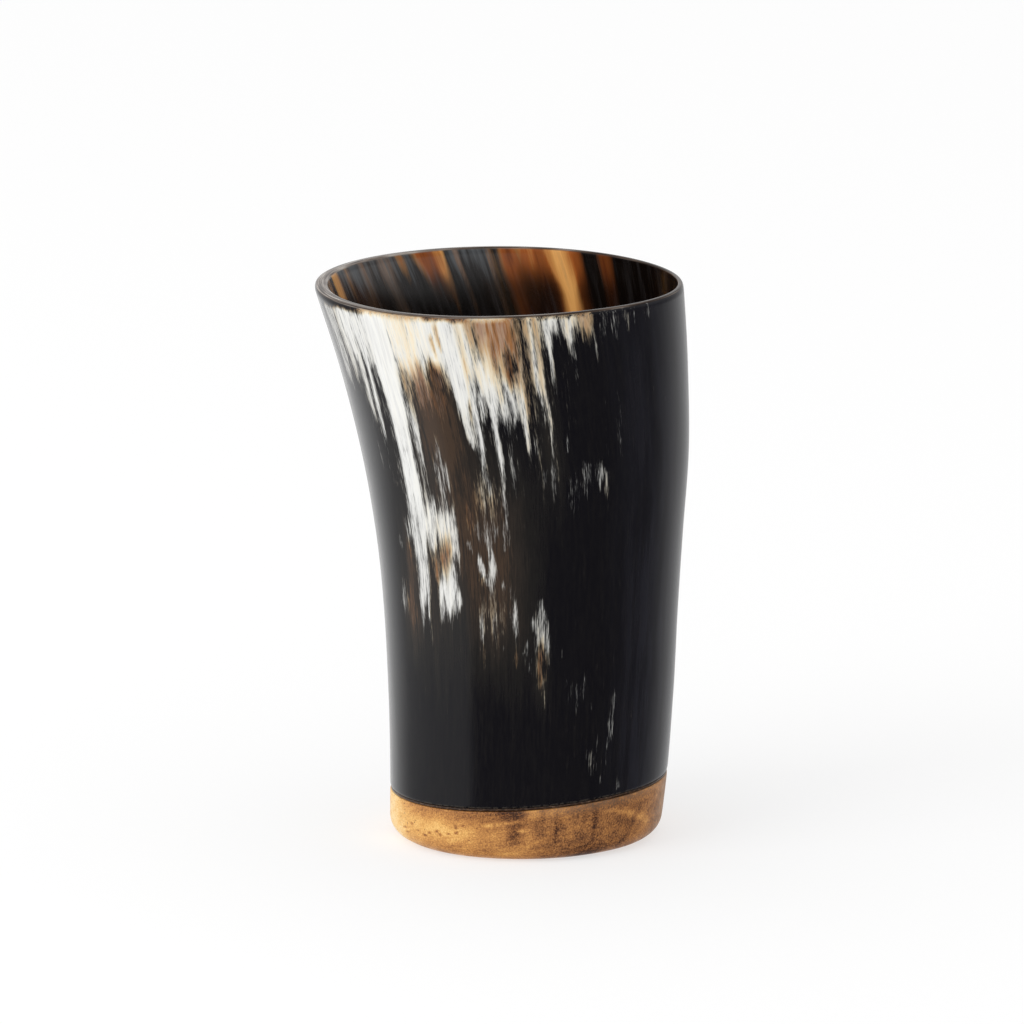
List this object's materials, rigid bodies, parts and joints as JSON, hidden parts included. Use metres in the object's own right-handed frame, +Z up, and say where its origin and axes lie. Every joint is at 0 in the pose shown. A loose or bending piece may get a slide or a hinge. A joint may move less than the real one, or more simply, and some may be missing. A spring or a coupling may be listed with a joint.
{
  "type": "horn drinking cup",
  "caption": "Leaning polished horn tumbler with a tapering oval wall, rounded lip and flush wooden foot, to drink from and stand on a table.",
  "frame": {"origin": "centre of the wooden foot's flat resting face", "axes": "+Z up through the mouth, -Y towards the viewer of the picture, and the rim leans towards -X"},
  "size_m": [0.0845, 0.0821, 0.127],
  "materials": {
    "horn": "polished natural horn, near black with cream, tan and brown streaks along the grain",
    "foot_wood": "satin lacquered honey-brown hardwood with fine pores",
    "glue": "set dark amber glue line",
    "seal_resin": "poured dark amber resin, smooth"
  },
  "bodies": {
    "root": {"horn_shell": "horn", "wood_base": "foot_wood", "glue_joint": "glue", "inner_seal": "seal_resin"}
  },
  "joints": []
}
